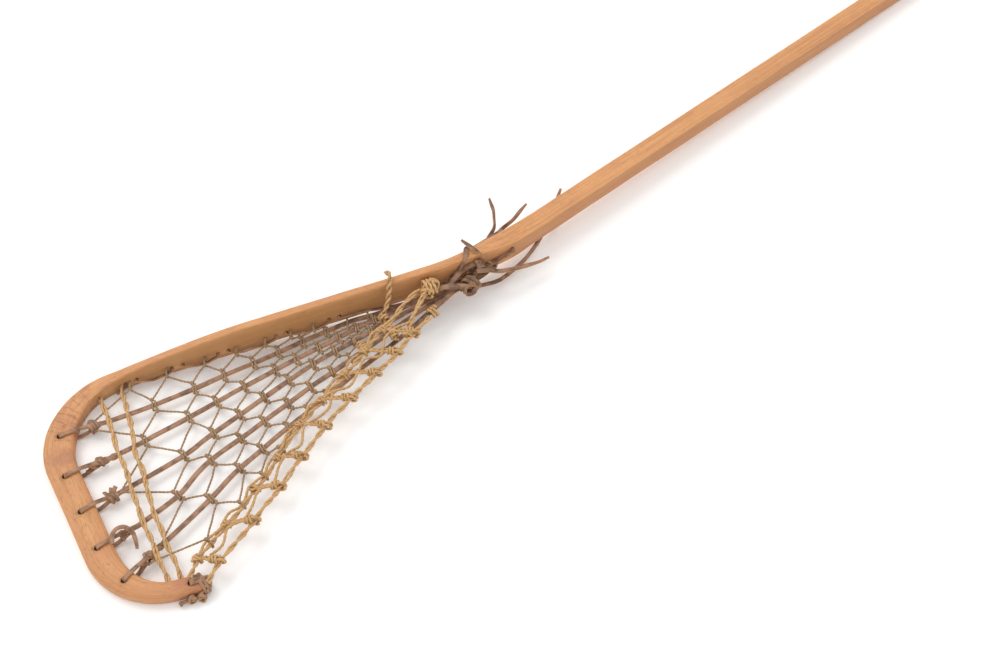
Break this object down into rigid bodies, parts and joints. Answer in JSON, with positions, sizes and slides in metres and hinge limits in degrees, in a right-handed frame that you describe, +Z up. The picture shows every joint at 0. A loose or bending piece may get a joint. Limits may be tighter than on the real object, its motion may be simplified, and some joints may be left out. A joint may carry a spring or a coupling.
{
  "type": "lacrosse stick",
  "caption": "Traditional wooden lacrosse stick: bent one-piece shaft and hooked head, laced with leather thongs, twine, shooting strings and a gut wall.",
  "frame": {"origin": "under the middle of the stick's bounding box, on the surface it lies on", "axes": "+X along the shaft from the butt to the head, +Y from the thin side rail of the head towards its gut wall, +Z up out of the open side of the pocket"},
  "size_m": [1.1131, 0.2415, 0.052],
  "materials": {
    "ash_wood": "honey-coloured bent ash, worn satin varnish",
    "leather": "dry dark brown-grey lace leather with paler cut edges",
    "twine": "matt tan-brown laid twine",
    "gut": "golden twisted rawhide gut, slightly glossy"
  },
  "bodies": {
    "root": {"gut_knot": "gut", "gut_tie": "gut", "gut_upright": "gut", "gut_wall_inner": "gut", "gut_wall_lattice": "gut", "gut_wall_outer": "gut", "loose_end_1": "leather", "loose_end_2": "leather", "loose_end_3": "leather", "loose_end_4": "leather", "loose_end_5": "leather", "rail_lace": "leather", "scoop_hitch_1": "leather", "scoop_hitch_2": "leather", "scoop_hitch_3": "leather", "scoop_hitch_4": "leather", "scoop_hitch_5": "leather", "shooting_string_1": "gut", "shooting_string_2": "gut", "thong_1": "leather", "thong_2": "leather", "thong_3": "leather", "thong_4": "leather", "thong_4_hooked_end": "leather", "thong_5": "leather", "throat_band": "leather", "throat_lashing": "leather", "tip_lashing": "leather", "twine_row_1": "twine", "twine_row_2": "twine", "twine_row_3": "twine", "twine_row_4": "twine", "twine_row_5": "twine", "twine_row_6": "twine", "wood_frame": "ash_wood"}
  },
  "joints": []
}
